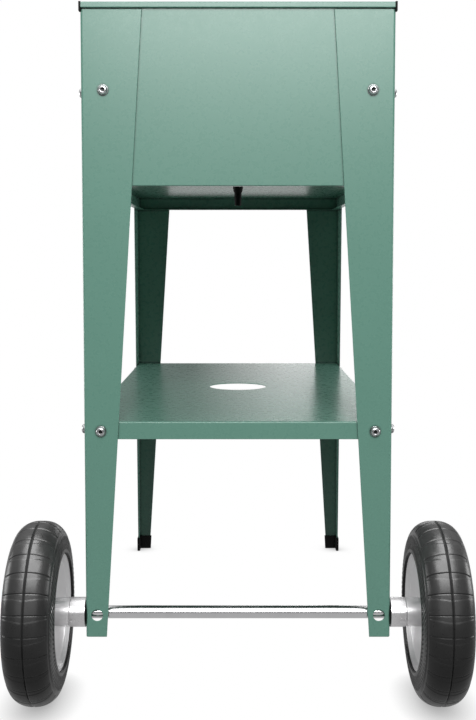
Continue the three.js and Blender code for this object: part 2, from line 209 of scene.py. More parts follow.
def carve(obj, tools, sharp=35):
    """Cuts (verts, faces) tools out of an object for good."""
    cutters = []
    for k, (verts, faces) in enumerate(tools):
        mesh = bpy.data.meshes.new(f"cutter{k}")
        mesh.from_pydata([tuple(c * MM for c in v) for v in verts], [], faces)
        tidy_mesh(mesh, sharp)
        cutter = bpy.data.objects.new(f"cutter{k}", mesh)
        bpy.context.scene.collection.objects.link(cutter)
        cutters.append(cutter)
        cut = obj.modifiers.new(f"cut{k}", "BOOLEAN")
        cut.operation = "DIFFERENCE"
        cut.solver = "EXACT"
        cut.object = cutter
    bake(obj)
    for cutter in cutters:
        bpy.data.objects.remove(cutter)
    obj.data.set_sharp_from_angle(angle=math.radians(sharp))


def bake(obj):
    bpy.context.view_layer.update()
    graph = bpy.context.evaluated_depsgraph_get()
    mesh = bpy.data.meshes.new_from_object(obj.evaluated_get(graph))
    obj.modifiers.clear()
    obj.data = mesh
    even = obj.modifiers.new("even_normals", "WEIGHTED_NORMAL")
    even.keep_sharp = True


# ---- folded sheet ----
TIP_TURNS = (25, 50, 75)


def sheet_path(points, radius, thickness, steps=6):
    """Follows a folded centre line and rounds its edges. Gives (point, normal, half thickness, leg number)."""
    line = [(Vector(points[0]), 0)]
    for i in range(1, len(points) - 1):
        here = Vector(points[i])
        arc = fillet(here, Vector(points[i - 1]) - here, Vector(points[i + 1]) - here, radius, steps)
        middle = len(arc) // 2
        line.extend((p, i - 1 if k <= middle else i) for k, p in enumerate(arc))
    line.append((Vector(points[-1]), len(points) - 2))
    return with_tips(line, thickness)


def with_tips(line, thickness):
    half = thickness / 2
    start = (line[1][0] - line[0][0]).normalized()
    end = (line[-2][0] - line[-1][0]).normalized()
    first, last = line[0], line[-1]
    samples = []
    for turn in TIP_TURNS:
        reach = half * (1 - math.cos(math.radians(turn)))
        samples.append((first[0] + start * reach, half * math.sin(math.radians(turn)), first[1]))
    samples.append((first[0] + start * half, half, first[1]))
    samples.extend((p, half, leg) for p, leg in line[1:-1])
    samples.append((last[0] + end * half, half, last[1]))
    for turn in reversed(TIP_TURNS):
        reach = half * (1 - math.cos(math.radians(turn)))
        samples.append((last[0] + end * reach, half * math.sin(math.radians(turn)), last[1]))
    return with_normals(samples)


def with_normals(samples):
    out = []
    for i, (point, half, leg) in enumerate(samples):
        before = samples[max(i - 1, 0)][0]
        after = samples[min(i + 1, len(samples) - 1)][0]
        ahead = (after - before).normalized()
        out.append((point, Vector((-ahead.y, ahead.x)), half, leg))
    return out


def sheet_skin(stations):
    """Joins (left points, right points) stations into a closed sheet with ends made of quads."""
    rings = [[*left, *reversed(right)] for left, right in stations]
    verts, faces = skin(rings, caps=False)
    count = len(rings[0])
    half = count // 2
    for base in (0, len(verts) - count):
        for i in range(half - 1):
            faces.append((base + i, base + i + 1, base + count - 2 - i, base + count - 1 - i))
    return verts, faces


def sides_of(path, squeeze, place):
    left = [place(point + normal * half * squeeze, leg) for point, normal, half, leg in path]
    right = [place(point - normal * half * squeeze, leg) for point, normal, half, leg in path]
    return left, right


# ---- legs ----
def leg_width(z):
    return LEG_WIDE - (LEG_WIDE_Z - z) * LEG_TAPER


def leg_path(width, thickness=LEG_SHEET, centre=LEG_SHEET / 2, radius=LEG_BEND):
    return sheet_path([(width, centre), (centre, centre), (centre, width)], radius, thickness)


def corner_place(side, end):
    """Turns a corner's own (inwards across, inwards along, up) into the trolley's frame."""
    y0 = FRONT_Y if end == "front" else REAR_Y
    along = 1 if end == "front" else -1
    return lambda x, y, z: (side * (HALF_ACROSS - x), y0 + along * y, z)


def end_stations(z0, z1, thickness, body_steps):
    """Heights from z0 to z1 with the squeeze that rounds the sheet's cut ends."""
    half = thickness / 2
    tips = [(half * (1 - math.cos(math.radians(t))), math.sin(math.radians(t))) for t in TIP_TURNS]
    low = [(z0 + reach, squeeze) for reach, squeeze in tips]
    high = [(z1 - reach, squeeze) for reach, squeeze in reversed(tips)]
    inner0, inner1 = z0 + half, z1 - half
    body = [(inner0 + (inner1 - inner0) * k / body_steps, 1) for k in range(body_steps + 1)]
    return [*low, *body, *high]


def leg_mesh(side, end):
    place = corner_place(side, end)
    bottom = FRONT_LEG_FOOT_Z if end == "front" else REAR_LEG_FOOT_Z
    stations = []
    for z, squeeze in end_stations(bottom, LEG_TOP_Z, LEG_SHEET, 24):
        path = leg_path(leg_width(z))
        stations.append(sides_of(path, squeeze, lambda p, _, z=z: place(p.x, p.y, z)))
    return sheet_skin(stations)


AXLE_HOLE = 7.3
SPARE_HOLE = 6.6
HOLE_CHAMFER = 0.35


def hole_cutter(side, end, inset, z, radius, across):
    """A bit with flared shoulders that breaks both edges of a hole in a leg's flange."""
    place = corner_place(side, end)
    wide = radius + HOLE_CHAMFER + 0.3
    outline = [
        (0.01, -3), (wide, -3), (wide, -0.3), (radius, HOLE_CHAMFER),
        (radius, LEG_SHEET - HOLE_CHAMFER), (wide, LEG_SHEET + 0.3), (wide, 5), (0.01, 5),
    ]
    if across:
        return turned(outline, 64, lambda d, a, b: place(d, inset + a, z + b))
    return turned(outline, 64, lambda d, a, b: place(inset + a, d, z + b))


def add_leg(side_name, side, end):
    node = f"{end}_{side_name}_leg"
    verts, faces = leg_mesh(side, end)
    obj = add_piece(f"coated_{node}", verts, faces, "frame", COAT, [node], sharp=50)
    if end == "front":
        inset = abs(AXLE_Y - FRONT_Y)
        tools = [
            hole_cutter(side, end, inset, AXLE_Z, AXLE_HOLE, True),
            hole_cutter(side, end, inset, AXLE_Z, SPARE_HOLE, False),
        ]
        carve(obj, tools, sharp=30)


# ---- planter walls ----
def wall_path(proud):
    mid = PANEL_IN + PANEL_SHEET / 2
    half = PANEL_SHEET / 2
    points = [
        (PANEL_IN + PANEL_SHEET + LIP, PANEL_BOTTOM_Z + half),
        (mid, PANEL_BOTTOM_Z + half),
        (mid, RIM_Z - half),
        (half - proud, RIM_Z - half),
        (half - proud, RIM_Z - HEM_TALL + half),
        (0.9, RIM_Z - HEM_TALL + half),
    ]
    return sheet_path(points, PANEL_BEND, PANEL_SHEET)


def add_wall(node, proud, lengths, to_world):
    """lengths holds the half length of each stretch of the fold, from the lip round to the hem."""
    path = wall_path(proud)
    stations = []
    for k in range(-16, 17):
        place = lambda p, stretch, k=k: to_world(lengths[stretch] * k / 16, p.x, p.y)
        stations.append(sides_of(path, 1, place))
    verts, faces = sheet_skin(stations)
    add_piece(f"coated_{node}", verts, faces, "frame", COAT, [node], sharp=50)


END_PROUD = 1.8
SIDE_PROUD = 1.5
HEM_SHORTER = 0.8
SIDE_HEM_START = 6


def add_walls():
    lip_end = HALF_ACROSS - PANEL_IN - PANEL_SHEET - GAP
    hem_end = HALF_ACROSS - HEM_SHORTER
    end_lengths = [lip_end, HALF_ACROSS - PANEL_IN, hem_end, hem_end, hem_end]
    lip_side = HALF_ALONG - PANEL_IN - PANEL_SHEET - LIP - GAP
    hem_side = HALF_ALONG - SIDE_HEM_START
    side_lengths = [lip_side, HALF_ALONG - PANEL_IN - PANEL_SHEET - GAP, hem_side, hem_side, hem_side]
    add_wall("front_panel", END_PROUD, end_lengths, lambda u, d, z: (u, FRONT_Y + d, z))
    add_wall("rear_panel", END_PROUD, end_lengths, lambda u, d, z: (-u, REAR_Y - d, z))
    add_wall("left_side_panel", SIDE_PROUD, side_lengths,
             lambda u, d, z: (-HALF_ACROSS + d, CENTRE_Y - u, z))
    add_wall("right_side_panel", SIDE_PROUD, side_lengths,
             lambda u, d, z: (HALF_ACROSS - d, CENTRE_Y + u, z))


# ---- trays: the shelf and the planter's floor ----
TRAY_CORNER = 3.2
TRAY_BEND = 1.7
TRAY_HOLE_EDGE = 0.3


def loop_at(half_x, half_y, reach, z):
    """A rounded rectangle: the core's corners pushed out by reach."""
    points = []
    core_x, core_y = half_x - TRAY_CORNER, half_y - TRAY_CORNER
    for quarter, (sx, sy) in enumerate([(1, 1), (-1, 1), (-1, -1), (1, -1)]):
        for k in range(7):
            turn = math.radians(90 * quarter + 15 * k)
            points.append((sx * core_x + reach * math.cos(turn), sy * core_y + reach * math.sin(turn), z))
    return points


def tray_profile():
    """(reach, height) from the flat inside, round the flange's edge, to the flat on top."""
    centre = [(0.3, -TRAY_SHEET / 2), (TRAY_CORNER - TRAY_SHEET / 2, -TRAY_SHEET / 2),
              (TRAY_CORNER - TRAY_SHEET / 2, -TRAY_TALL)]
    path = sheet_path(centre, TRAY_BEND, TRAY_SHEET)
    flat = len(TIP_TURNS)
    over = [point + normal * half for point, normal, half, _ in path[flat:]]
    under = [point - normal * half for point, normal, half, _ in path[flat:]]
    return [*over, *reversed(under)]


def circle_at(radius, z, count):
    return [
        (radius * math.cos(2 * math.pi * k / count), radius * math.sin(2 * math.pi * k / count), z)
        for k in range(count)
    ]


def add_tray(node, half_x, half_y, top_z, hole):
    bm = bmesh.new()
    profile = tray_profile()
    if profile[0].y < profile[-1].y:
        profile.reverse()
    rings = [loop_at(half_x, half_y, p.x, p.y) for p in profile]
    edge = TRAY_HOLE_EDGE
    bore = [
        (hole + edge, 0), (hole + edge * 0.3, -edge * 0.3), (hole, -edge), (hole, edge - TRAY_SHEET),
        (hole + edge * 0.3, edge * 0.3 - TRAY_SHEET), (hole + edge, -TRAY_SHEET),
    ]
    circles = [circle_at(r, z, 96) for r, z in bore]
    outer = add_strip(bm, rings)
    inner = add_strip(bm, circles)
    for loop_edges in ((outer[0], inner[0]), (outer[1], inner[1])):
        bmesh.ops.triangle_fill(bm, use_beauty=True, edges=[*loop_edges[0], *loop_edges[1]])
    bmesh.ops.translate(bm, verts=bm.verts, vec=(0, CENTRE_Y, top_z))
    bm.verts.index_update()
    verts = [tuple(v.co) for v in bm.verts]
    faces = [tuple(v.index for v in f.verts) for f in bm.faces]
    bm.free()
    add_piece(f"coated_{node}", verts, faces, "frame", COAT, [node], sharp=50)


def add_strip(bm, rings):
    """Adds a band of rings to a bmesh and gives the edges of its first and last ring."""
    rows = [[bm.verts.new(p) for p in ring] for ring in rings]
    for a, b in zip(rows, rows[1:]):
        for i in range(len(a)):
            j = (i + 1) % len(a)
            bm.faces.new((a[i], a[j], b[j], b[i]))
    border = lambda row: [bm.edges.get((row[i - 1], row[i])) for i in range(len(row))]
    return border(rows[0]), border(rows[-1])


# ---- plastic corners and feet ----
CAP_BELOW = 9.8
CAP_ABOVE = 0.5
CAP_PROUD = 0.3
CAP_CORNER = 1.6
CAP_EDGE = 0.6


def add_rim_cap(side_name, side, end):
    place = corner_place(side, end)
    left, front = -SIDE_PROUD - CAP_PROUD, -END_PROUD - CAP_PROUD
    back_end, right = SIDE_HEM_START - GAP, HEM_SHORTER - GAP
    inner = PANEL_IN + PANEL_SHEET + GAP
    outline = rounded(
        [
            (right, front, 0.2), (right, inner, 0.2), (PANEL_IN - GAP, inner, 0.2),
            (PANEL_IN - GAP, back_end, 0.2), (left, back_end, 0.4), (left, front, CAP_CORNER),
        ],
        0.2, 6,
    )
    middle = Vector((left / 2, 0))
    rings = []
    low, high = RIM_Z - CAP_BELOW, RIM_Z + CAP_ABOVE
    turns = (20, 45, 70, 90)
    for z, turn in [*[(low, t) for t in turns], *[(high, t) for t in reversed(turns)]]:
        reach = CAP_EDGE * (1 - math.cos(math.radians(turn)))
        height = low + reach if z == low else high - reach
        inset = CAP_EDGE * (1 - math.sin(math.radians(turn)))
        rings.append([place(*shrunk(p, middle, inset), height) for p in outline])
    verts, faces = skin(rings)
    node = f"{end}_{side_name}_rim_cap"
    obj = add_piece(f"moulded_{node}", verts, faces, "frame", BLACK, [node], sharp=40)
    room = box_mesh(place, (-GAP, -GAP, RIM_Z - 20), (20, 20, LEG_TOP_Z + GAP))
    carve(obj, [room], sharp=40)


def shrunk(point, middle, inset):
    offset = point - middle
    scale = max(0.0, 1 - inset / max(offset.length, 0.01))
    moved = middle + offset * scale
    return moved.x, moved.y


def box_mesh(place, low, high):
    spans = list(zip(low, high))
    corners = [place(x, y, z) for x in spans[0] for y in spans[1] for z in spans[2]]
    faces = [(0, 1, 3, 2), (4, 6, 7, 5), (0, 4, 5, 1), (2, 3, 7, 6), (0, 2, 6, 4), (1, 5, 7, 3)]
    return corners, faces


FOOT_TALL = 22
FOOT_WALL = 1.6
FOOT_CLEARANCE = 0.2
FOOT_EDGE = 0.8


def add_foot(side_name, side):
    place = corner_place(side, "rear")
    mid = LEG_SHEET / 2

    def ring(z, grow):
        width = leg_width(max(z, REAR_LEG_FOOT_Z)) + grow
        path = sheet_path([(width, mid), (mid, mid), (mid, width)], LEG_BEND, LEG_SHEET + 2 * grow)
        left, right = sides_of(path, 1, lambda p, _: place(p.x, p.y, z))
        return [*left, *reversed(right)]

    heights = []
    for turn in (0, 30, 60, 90):
        rise = FOOT_EDGE * (1 - math.cos(math.radians(turn)))
        heights.append((rise, FOOT_WALL - FOOT_EDGE * (1 - math.sin(math.radians(turn)))))
    rings = [ring(z, grow) for z, grow in heights]
    rings.extend(ring(FOOT_TALL - z * 0.6, grow) for z, grow in reversed(heights[1:]))
    rings.append(ring(FOOT_TALL, FOOT_WALL - 0.5))
    rings.append(ring(FOOT_TALL, FOOT_CLEARANCE + 0.2))
    rings.append(ring(FOOT_TALL - 0.3, FOOT_CLEARANCE))
    rings.append(ring(REAR_LEG_FOOT_Z - FOOT_CLEARANCE, FOOT_CLEARANCE))
    verts, faces = skin(rings)
    node = f"{side_name}_foot_cap"
    add_piece(f"moulded_{node}", verts, faces, "frame", BLACK, [node], sharp=45)


# ---- bolts ----
BOLT_SIDES = 48
WASHER = (6, 1.6)
HEAD = (5.25, 3.3)
SOCKET_ACROSS = 4
SOCKET_DEEP = 1.9
NUT_ACROSS = 10
NUT_TALL = 5
SHANK = 3
BOLT_ROWS = (("planter", PLANTER_BOLT, PANEL_SHEET), ("shelf", SHELF_BOLT, TRAY_SHEET))


def hexagon(across, turn):
    """Distance from the middle to a hexagon's side, at an angle."""
    wedge = (turn + math.pi / 6) % (math.pi / 3) - math.pi / 6
    return across / 2 / math.cos(wedge)


def star_ring(radius_at, z):
    ring = []
    for k in range(BOLT_SIDES):
        turn = 2 * math.pi * k / BOLT_SIDES
        r = radius_at(turn)
        ring.append((r * math.cos(turn), r * math.sin(turn), z))
    return ring


def round_ring(radius, z):
    return star_ring(lambda _: radius, z)


def washer_mesh():
    radius, tall = WASHER
    outline = rounded([(SHANK, GAP), (radius, GAP), (radius, GAP + tall), (SHANK, GAP + tall)], 0.35, 3)
    return turned(outline, BOLT_SIDES, lambda d, a, b: (a, b, d))


def head_mesh():
    """A domed button head with a hexagon socket."""
    base = GAP + WASHER[1]
    radius, tall = HEAD
    rings = [round_ring(SHANK, base - 0.2), round_ring(radius - 0.3, base), round_ring(radius, base + 0.25)]
    rings.append(round_ring(radius, base + 0.6))
    dome = tall - 0.6
    mouth = SOCKET_ACROSS / 2 / math.cos(math.pi / 6) + 0.45
    for k in range(1, 8):
        turn = k / 8 * math.pi / 2
        reach = mouth + (radius - mouth) * math.cos(turn)
        rings.append(round_ring(reach, base + 0.6 + dome * math.sin(turn)))
    rings.append(round_ring(mouth, base + tall))
    rings.append(star_ring(lambda t: hexagon(SOCKET_ACROSS + 0.5, t), base + tall - 0.1))
    rings.append(star_ring(lambda t: hexagon(SOCKET_ACROSS, t), base + tall - 0.35))
    rings.append(star_ring(lambda t: hexagon(SOCKET_ACROSS, t), base + tall - SOCKET_DEEP))
    rings.append(round_ring(0.3, base + tall - SOCKET_DEEP - 0.5))
    return skin(rings)


def nut_mesh(face):
    """A hexagon nut whose bearing face is at height face, reaching inwards."""
    corner = NUT_ACROSS / 2 / math.cos(math.pi / 6)
    flat = NUT_ACROSS / 2
    rings = []
    limits = [(0, flat * 0.97), (0.5, corner), (NUT_TALL - 0.5, corner), (NUT_TALL, flat * 0.97)]
    for depth, limit in limits:
        rings.append(star_ring(lambda t, limit=limit: min(hexagon(NUT_ACROSS, t), limit), face - depth))
    rings.append(round_ring(SHANK + 0.4, face - NUT_TALL))
    rings.append(round_ring(SHANK - 0.2, face - NUT_TALL + 0.5))
    rings.append(round_ring(SHANK - 0.2, face - 0.2))
    rings.append(round_ring(SHANK + 0.2, face))
    return skin(rings, closed_along=True)


def shank_mesh(face):
    """The threaded end: rings of thread on a core, from past the nut up to the head."""
    tip = face - NUT_TALL - 1.5
    top = GAP + WASHER[1]
    rings = [round_ring(SHANK - 0.9, tip), round_ring(SHANK - 0.35, tip + 0.5)]
    z = tip + 0.5
    while z < top - 1:
        rings.append(round_ring(SHANK - 0.35, z + 0.35))
        rings.append(round_ring(SHANK - 0.05, z + 0.6))
        rings.append(round_ring(SHANK - 0.35, z + 0.9))
        z += 1
    rings.append(round_ring(SHANK - 0.35, top))
    return skin(rings)


def add_bolts():
    """Sixteen bolts: one through each flange of each leg, at the planter and at the shelf."""
    spin = np.random.default_rng(7)
    for side_name, side in SIDES:
        for end in ("front", "rear"):
            along = 1 if end == "front" else -1
            for row, (inset, z), sheet in BOLT_ROWS:
                face = -(PANEL_IN + sheet + GAP)
                turns = spin.uniform(0, math.pi / 3, 2)
                y0 = FRONT_Y if end == "front" else REAR_Y
                spots = {
                    "end": (Vector((side * (HALF_ACROSS - inset), y0, z)), Vector((0, -along, 0))),
                    "side": (Vector((side * HALF_ACROSS, y0 + along * inset, z)), Vector((side, 0, 0))),
                }
                for (kind, (spot, outwards)), turn in zip(spots.items(), turns):
                    add_bolt(f"bolt_{end}_{side_name}_{row}_{kind}", spot, outwards, face, turn)


def add_bolt(node, spot, outwards, face, turn):
    verts, faces = merged(washer_mesh(), head_mesh(), nut_mesh(face), shank_mesh(face))
    pose = outwards.to_track_quat("Z", "Y").to_matrix() @ Matrix.Rotation(turn, 3, "Z")
    verts = [tuple(spot + pose @ Vector(v)) for v in verts]
    add_piece(f"zinc_{node}", verts, faces, "frame", ZINC, [node], sharp=40)


# ---- drain ----
SPOUT_BORE = 3.5
SPOUT_RADIUS = 5.3
FLANGE_RADIUS = 13
FLANGE_TALL = 2
SEAL_RADIUS = 11
SEAL_TOP = 1.65
DRAIN_NUT_BORE = 5.5
DRAIN_NUT_TALL = 8


def add_drain():
    spot = upright(0, CENTRE_Y, FLOOR_TOP_Z)
    flange_bottom = SEAL_TOP + GAP
    flange_top = flange_bottom + FLANGE_TALL
    nut_top = -TRAY_SHEET - GAP
    tip = span("drain_spout")[0].z - FLOOR_TOP_Z
    spout = [
        (SPOUT_BORE, tip, 0.3), (4.3, tip, 0.5), (4.7, tip + 1.2, 0.5), (5.1, nut_top - 8.2, 0.2),
        (SPOUT_RADIUS, nut_top - 7.9, 0.2), (SPOUT_RADIUS, flange_bottom, 0.2),
        (FLANGE_RADIUS, flange_bottom, 0.4), (FLANGE_RADIUS - 0.4, flange_top, 1),
        (4.4, flange_top, 0.8), (SPOUT_BORE, flange_top - 1, 0.5),
    ]
    add_turned("drain_spout", rounded(spout, 0.3), spot, "frame", BLACK, 72)
    seal = rounded(
        [(DRAIN_HOLE, GAP), (SEAL_RADIUS, GAP), (SEAL_RADIUS, SEAL_TOP), (DRAIN_HOLE, SEAL_TOP)], 0.5
    )
    add_turned("drain_seal", seal, spot, "frame", RUBBER, 72)
    nut_end = nut_top - DRAIN_NUT_TALL
    nut = [
        (DRAIN_NUT_BORE, nut_end), (6, nut_end, 0.4), (6.9, nut_top - 3, 0.5), (7.1, nut_top, 0.3),
        (DRAIN_NUT_BORE, nut_top),
    ]
    add_turned("drain_nut", rounded(nut, 0.2), spot, "frame", BLACK, 72)


def add_turned(node, outline, place, body, material, segments):
    verts, faces = turned(outline, segments, place)
    add_piece(f"turned_{node}", verts, faces, body, material, [node], sharp=40)


# ---- axle and its fittings ----
AXLE_CHAMFER = 0.8
LEG_WASHER = (14, 1)
SPACER = (16.6, 190.4)
CAP_FROM = 17.5
CAP_TO = 24
CAP_RADIUS = 11
BUSH_RADIUS = 9
BUSH_LONG = 10
HUB_IN = -35.6
HUB_OUT = 17


def add_axle():
    low, high = span("axle")
    half = (high.x - low.x) / 2
    end_radius, shoulder = AXLE_RADIUS - AXLE_CHAMFER, half - AXLE_CHAMFER
    outline = rounded(
        [(0.01, -half, 0), (end_radius, -half), (AXLE_RADIUS, -shoulder),
         (AXLE_RADIUS, shoulder), (end_radius, half), (0.01, half, 0)],
        0.25,
    )
    add_turned("axle", outline, along_x(1, 0, AXLE_Y, AXLE_Z), "frame", CHROME, 96)


def add_axle_fittings(side_name, side):
    middle = along_x(side, 0, AXLE_Y, AXLE_Z)
    bore = AXLE_RADIUS + AXLE_PLAY
    face = HALF_ACROSS + GAP
    washer_radius, washer_long = LEG_WASHER
    back = face + washer_long
    washer = rounded([(bore, face), (washer_radius, face), (washer_radius, back), (bore, back)], 0.3)
    add_turned(f"{side_name}_leg_washer", washer, middle, "frame", BLACK, 96)
    start = back + GAP
    radius, end = SPACER
    tube = rounded([(bore, start), (radius, start, 0.3), (radius, end, 0.4), (bore, end)], 0.4)
    add_turned(f"{side_name}_spacer", tube, middle, "frame", SPACER_STEEL, 128)
    wheel = along_x(side, WHEEL_X, AXLE_Y, AXLE_Z)
    cap = rounded(
        [(0.01, CAP_TO - 1.6, 0), (bore, CAP_TO - 1.6), (bore, CAP_FROM), (CAP_RADIUS, CAP_FROM),
         (CAP_RADIUS, CAP_TO - 2.2, 1.5), (CAP_RADIUS - 3, CAP_TO, 2), (0.01, CAP_TO + 0.2, 0)],
        0.3,
    )
    add_turned(f"{side_name}_axle_cap", cap, wheel, "frame", BLACK, 72)
    for which, low in (("inner", HUB_IN), ("outer", HUB_OUT - BUSH_LONG)):
        high = low + BUSH_LONG
        bush = rounded([(bore, low), (BUSH_RADIUS, low), (BUSH_RADIUS, high), (bore, high)], 0.5)
        add_turned(f"{side_name}_{which}_bush", bush, wheel, f"{side_name}_wheel", NYLON, 72)


# ---- wheels ----
RIM_LIP = 65.8
RIM_FLAT = 62.6
RIM_FACE = 25.6
RIM_INNER = 22.8
RIM_SEAT = 59.5
RIM_BARREL = 55.5
HUB_RADIUS = 16
HUB_BORE = 9.15
DISH_EDGE = 20.6
DISH_RADIUS = 58
DISH_HUB = 14
DISH_WALL = 3.2
VENTS = 5
VENT_RING = 38
VENT_RADIUS = 3.5


def add_rim(side_name, side):
    wheel = along_x(side, WHEEL_X, AXLE_Y, AXLE_Z)
    inner_face = [
        (HUB_BORE, HUB_IN, 0.4), (HUB_RADIUS, HUB_IN, 0.8), (HUB_RADIUS, -DISH_HUB, 1.6),
        (DISH_RADIUS, -DISH_EDGE, 2.2), (RIM_FLAT, -RIM_FACE, 0.9), (RIM_LIP, -RIM_FACE, 1.1),
    ]
    seat = [
        (RIM_LIP, -RIM_INNER, 0.8), (RIM_SEAT, -RIM_INNER, 0.8),
        (RIM_SEAT, RIM_INNER, 0.8), (RIM_LIP, RIM_INNER, 0.8),
    ]
    outer_face = [
        (RIM_LIP, RIM_FACE, 1.1), (RIM_FLAT, RIM_FACE, 0.9), (DISH_RADIUS, DISH_EDGE, 2.2),
        (HUB_RADIUS + 2, HUB_OUT, 2), (HUB_BORE, HUB_OUT, 0.4),
    ]
    hollow = [
        (HUB_BORE, HUB_OUT - DISH_WALL, 0.2), (HUB_RADIUS + 4, HUB_OUT - DISH_WALL, 1),
        (RIM_BARREL, DISH_EDGE - DISH_WALL - 1, 1), (RIM_BARREL, DISH_WALL - DISH_EDGE, 1),
        (HUB_RADIUS + 4, DISH_WALL - DISH_HUB, 1), (HUB_BORE, DISH_WALL - DISH_HUB, 0.2),
    ]
    section = [*inner_face, *seat, *outer_face, *hollow]
    verts, faces = turned(rounded(section, 0.4, 5), 160, wheel)
    node, body = f"{side_name}_rim", f"{side_name}_wheel"
    obj = add_piece(f"moulded_{node}", verts, faces, body, RIM_GREY, [node], sharp=40)
    vents = [vent_cutter(wheel, 2 * math.pi * k / VENTS) for k in range(VENTS)]
    carve(obj, vents, sharp=40)


def vent_cutter(wheel, turn):
    cy, cz = VENT_RING * math.cos(turn), VENT_RING * math.sin(turn)
    outline = [(0.01, 8), (VENT_RADIUS, 8), (VENT_RADIUS, 30), (0.01, 30)]
    return turned(outline, 40, lambda d, a, b: wheel(d, cy + a, cz + b))


TYRE_RADIUS = 102.5
TYRE_HALF = 27.4
TYRE_WIDEST = 76
TYRE_FULLNESS = 2.3
BEAD_HALF = 28.4
BEAD_RADIUS = 67
PITCHES = 28
TREAD_PHASE = 0.29
STEPS_PER_PITCH = 30
GROOVE_DEEP = 1.6
STEP_DEEP = 0.3
SIPE_DEEP = 0.35
RING_DEEP = 0.4
RIB_DEEP = 0.6


def tyre_outline():
    """(radius, along) round the tyre's section, from one bead over the tread to the other."""
    tall = TYRE_RADIUS - TYRE_WIDEST
    power = 2 / TYRE_FULLNESS
    half = []
    for k in range(57):
        turn = math.pi / 2 * k / 56
        half.append((TYRE_WIDEST + tall * math.cos(turn) ** power, TYRE_HALF * math.sin(turn) ** power))
    for k in range(1, 11):
        share = k / 10
        radius = TYRE_WIDEST - (TYRE_WIDEST - BEAD_RADIUS) * share
        half.append((radius, TYRE_HALF - (TYRE_HALF - BEAD_HALF) * share**2))
    seat = RIM_INNER - 0.4
    half.extend([(66.4, BEAD_HALF - 0.4), (66.1, BEAD_HALF - 1.1), (66.0, seat), (59.8, seat)])
    lower = [(r, -s) for r, s in half[1:]]
    return [*reversed(lower), *half]


def smooth(low, high, x):
    t = np.clip((x - low) / (high - low), 0, 1)
    return t * t * (3 - 2 * t)


def tread_depth(turn, radius, s):
    """How far the moulding is cut into the tyre at an angle and a place on its section."""
    across = np.abs(s)
    centre = GROOVE_DEEP * (1 - smooth(0.45, 1.1, across))
    length = 2 * math.pi * TYRE_RADIUS / PITCHES
    down = (1 - (turn / (2 * math.pi) * PITCHES - TREAD_PHASE) % 1) * length
    wide = 8.6 - 3.6 * np.clip(across / 24, 0, 1)
    step = STEP_DEEP * smooth(0, 0.4, down) * (1 - smooth(wide - 0.7, wide, down))
    sipe = SIPE_DEEP * (1 - smooth(0.2, 0.7, np.abs(down - 0.5)))
    tread = (step + sipe) * (1 - smooth(23.6, 24.6, across))
    ring = RING_DEEP * smooth(24.4, 24.8, across) * smooth(86.5, 87, radius)
    slant = (turn / (2 * math.pi) * PITCHES * 3 + (TYRE_RADIUS - radius) / 9) % 1
    ribs = RIB_DEEP * smooth(0.0, 0.15, slant) * (1 - smooth(0.4, 0.6, slant))
    ribs = ribs * (1 - smooth(84.5, 86, radius)) * smooth(69.5, 71, radius)
    return np.maximum.reduce([centre, tread, ring, ribs])


def add_tyre(side_name, side):
    outline = tyre_outline()
    wheel = along_x(side, WHEEL_X, AXLE_Y, AXLE_Z)
    points = np.array(outline)
    inwards = outline_normals(points)
    total = PITCHES * STEPS_PER_PITCH
    rings = []
    for k in range(total):
        turn = 2 * math.pi * k / total
        depth = tread_depth(turn, points[:, 0], points[:, 1])
        place = points + inwards * depth[:, None]
        c, s = math.cos(turn), math.sin(turn)
        rings.append([wheel(along, r * -c, r * s) for r, along in place])
    verts, faces = skin(rings, closed_along=True)
    node, body = f"{side_name}_tyre", f"{side_name}_wheel"
    add_piece(f"moulded_{node}", verts, faces, body, TYRE_RUBBER, [node], sharp=60)


def outline_normals(points):
    """Unit vectors into the tyre, in the plane of its section."""
    ahead = np.roll(points, -1, axis=0) - np.roll(points, 1, axis=0)
    ahead /= np.linalg.norm(ahead, axis=1)[:, None]
    normals = np.stack([ahead[:, 1], -ahead[:, 0]], axis=1)
    crown = len(points) // 2
    return normals if normals[crown, 0] < 0 else -normals


# ---- materials ----
NOISE_LOW, NOISE_HIGH = 0.3, 0.7  # the stretch of a noise that a colour or a value follows


def new_material(name):
    material = bpy.data.materials.new(name)
    material.use_nodes = True
    tree = material.node_tree
    return material, tree, tree.nodes["Principled BSDF"]


def noise(tree, scale, detail, rough=0.5, stretch=None):
    where = tree.nodes.new("ShaderNodeTexCoord").outputs["Object"]
    if stretch:
        mapping = tree.nodes.new("ShaderNodeMapping")
        mapping.inputs["Scale"].default_value = stretch
        tree.links.new(where, mapping.inputs["Vector"])
        where = mapping.outputs["Vector"]
    node = tree.nodes.new("ShaderNodeTexNoise")
    node.inputs["Scale"].default_value = scale
    node.inputs["Detail"].default_value = detail
    node.inputs["Roughness"].default_value = rough
    tree.links.new(where, node.inputs["Vector"])
    return node.outputs["Fac"]


def spread(tree, value, low, high, start=NOISE_LOW, stop=NOISE_HIGH):
    """Maps a value from start..stop to low..high."""
    node = tree.nodes.new("ShaderNodeMapRange")
    node.inputs["From Min"].default_value = start
    node.inputs["From Max"].default_value = stop
    node.inputs["To Min"].default_value = low
    node.inputs["To Max"].default_value = high
    tree.links.new(value, node.inputs["Value"])
    return node.outputs["Result"]


def tint(tree, value, dark, light, socket):
    ramp = tree.nodes.new("ShaderNodeValToRGB")
    ramp.color_ramp.elements[0].position = NOISE_LOW
    ramp.color_ramp.elements[0].color = (*dark, 1)
    ramp.color_ramp.elements[1].position = NOISE_HIGH
    ramp.color_ramp.elements[1].color = (*light, 1)
    tree.links.new(value, ramp.inputs["Fac"])
    tree.links.new(ramp.outputs["Color"], socket)


def bump(tree, value, distance):
    node = tree.nodes.new("ShaderNodeBump")
    node.inputs["Distance"].default_value = distance
    node.inputs["Strength"].default_value = 1
    tree.links.new(value, node.inputs["Height"])
    return node.outputs["Normal"]


def scaled(colour, factor):
    return tuple(c * factor for c in colour)


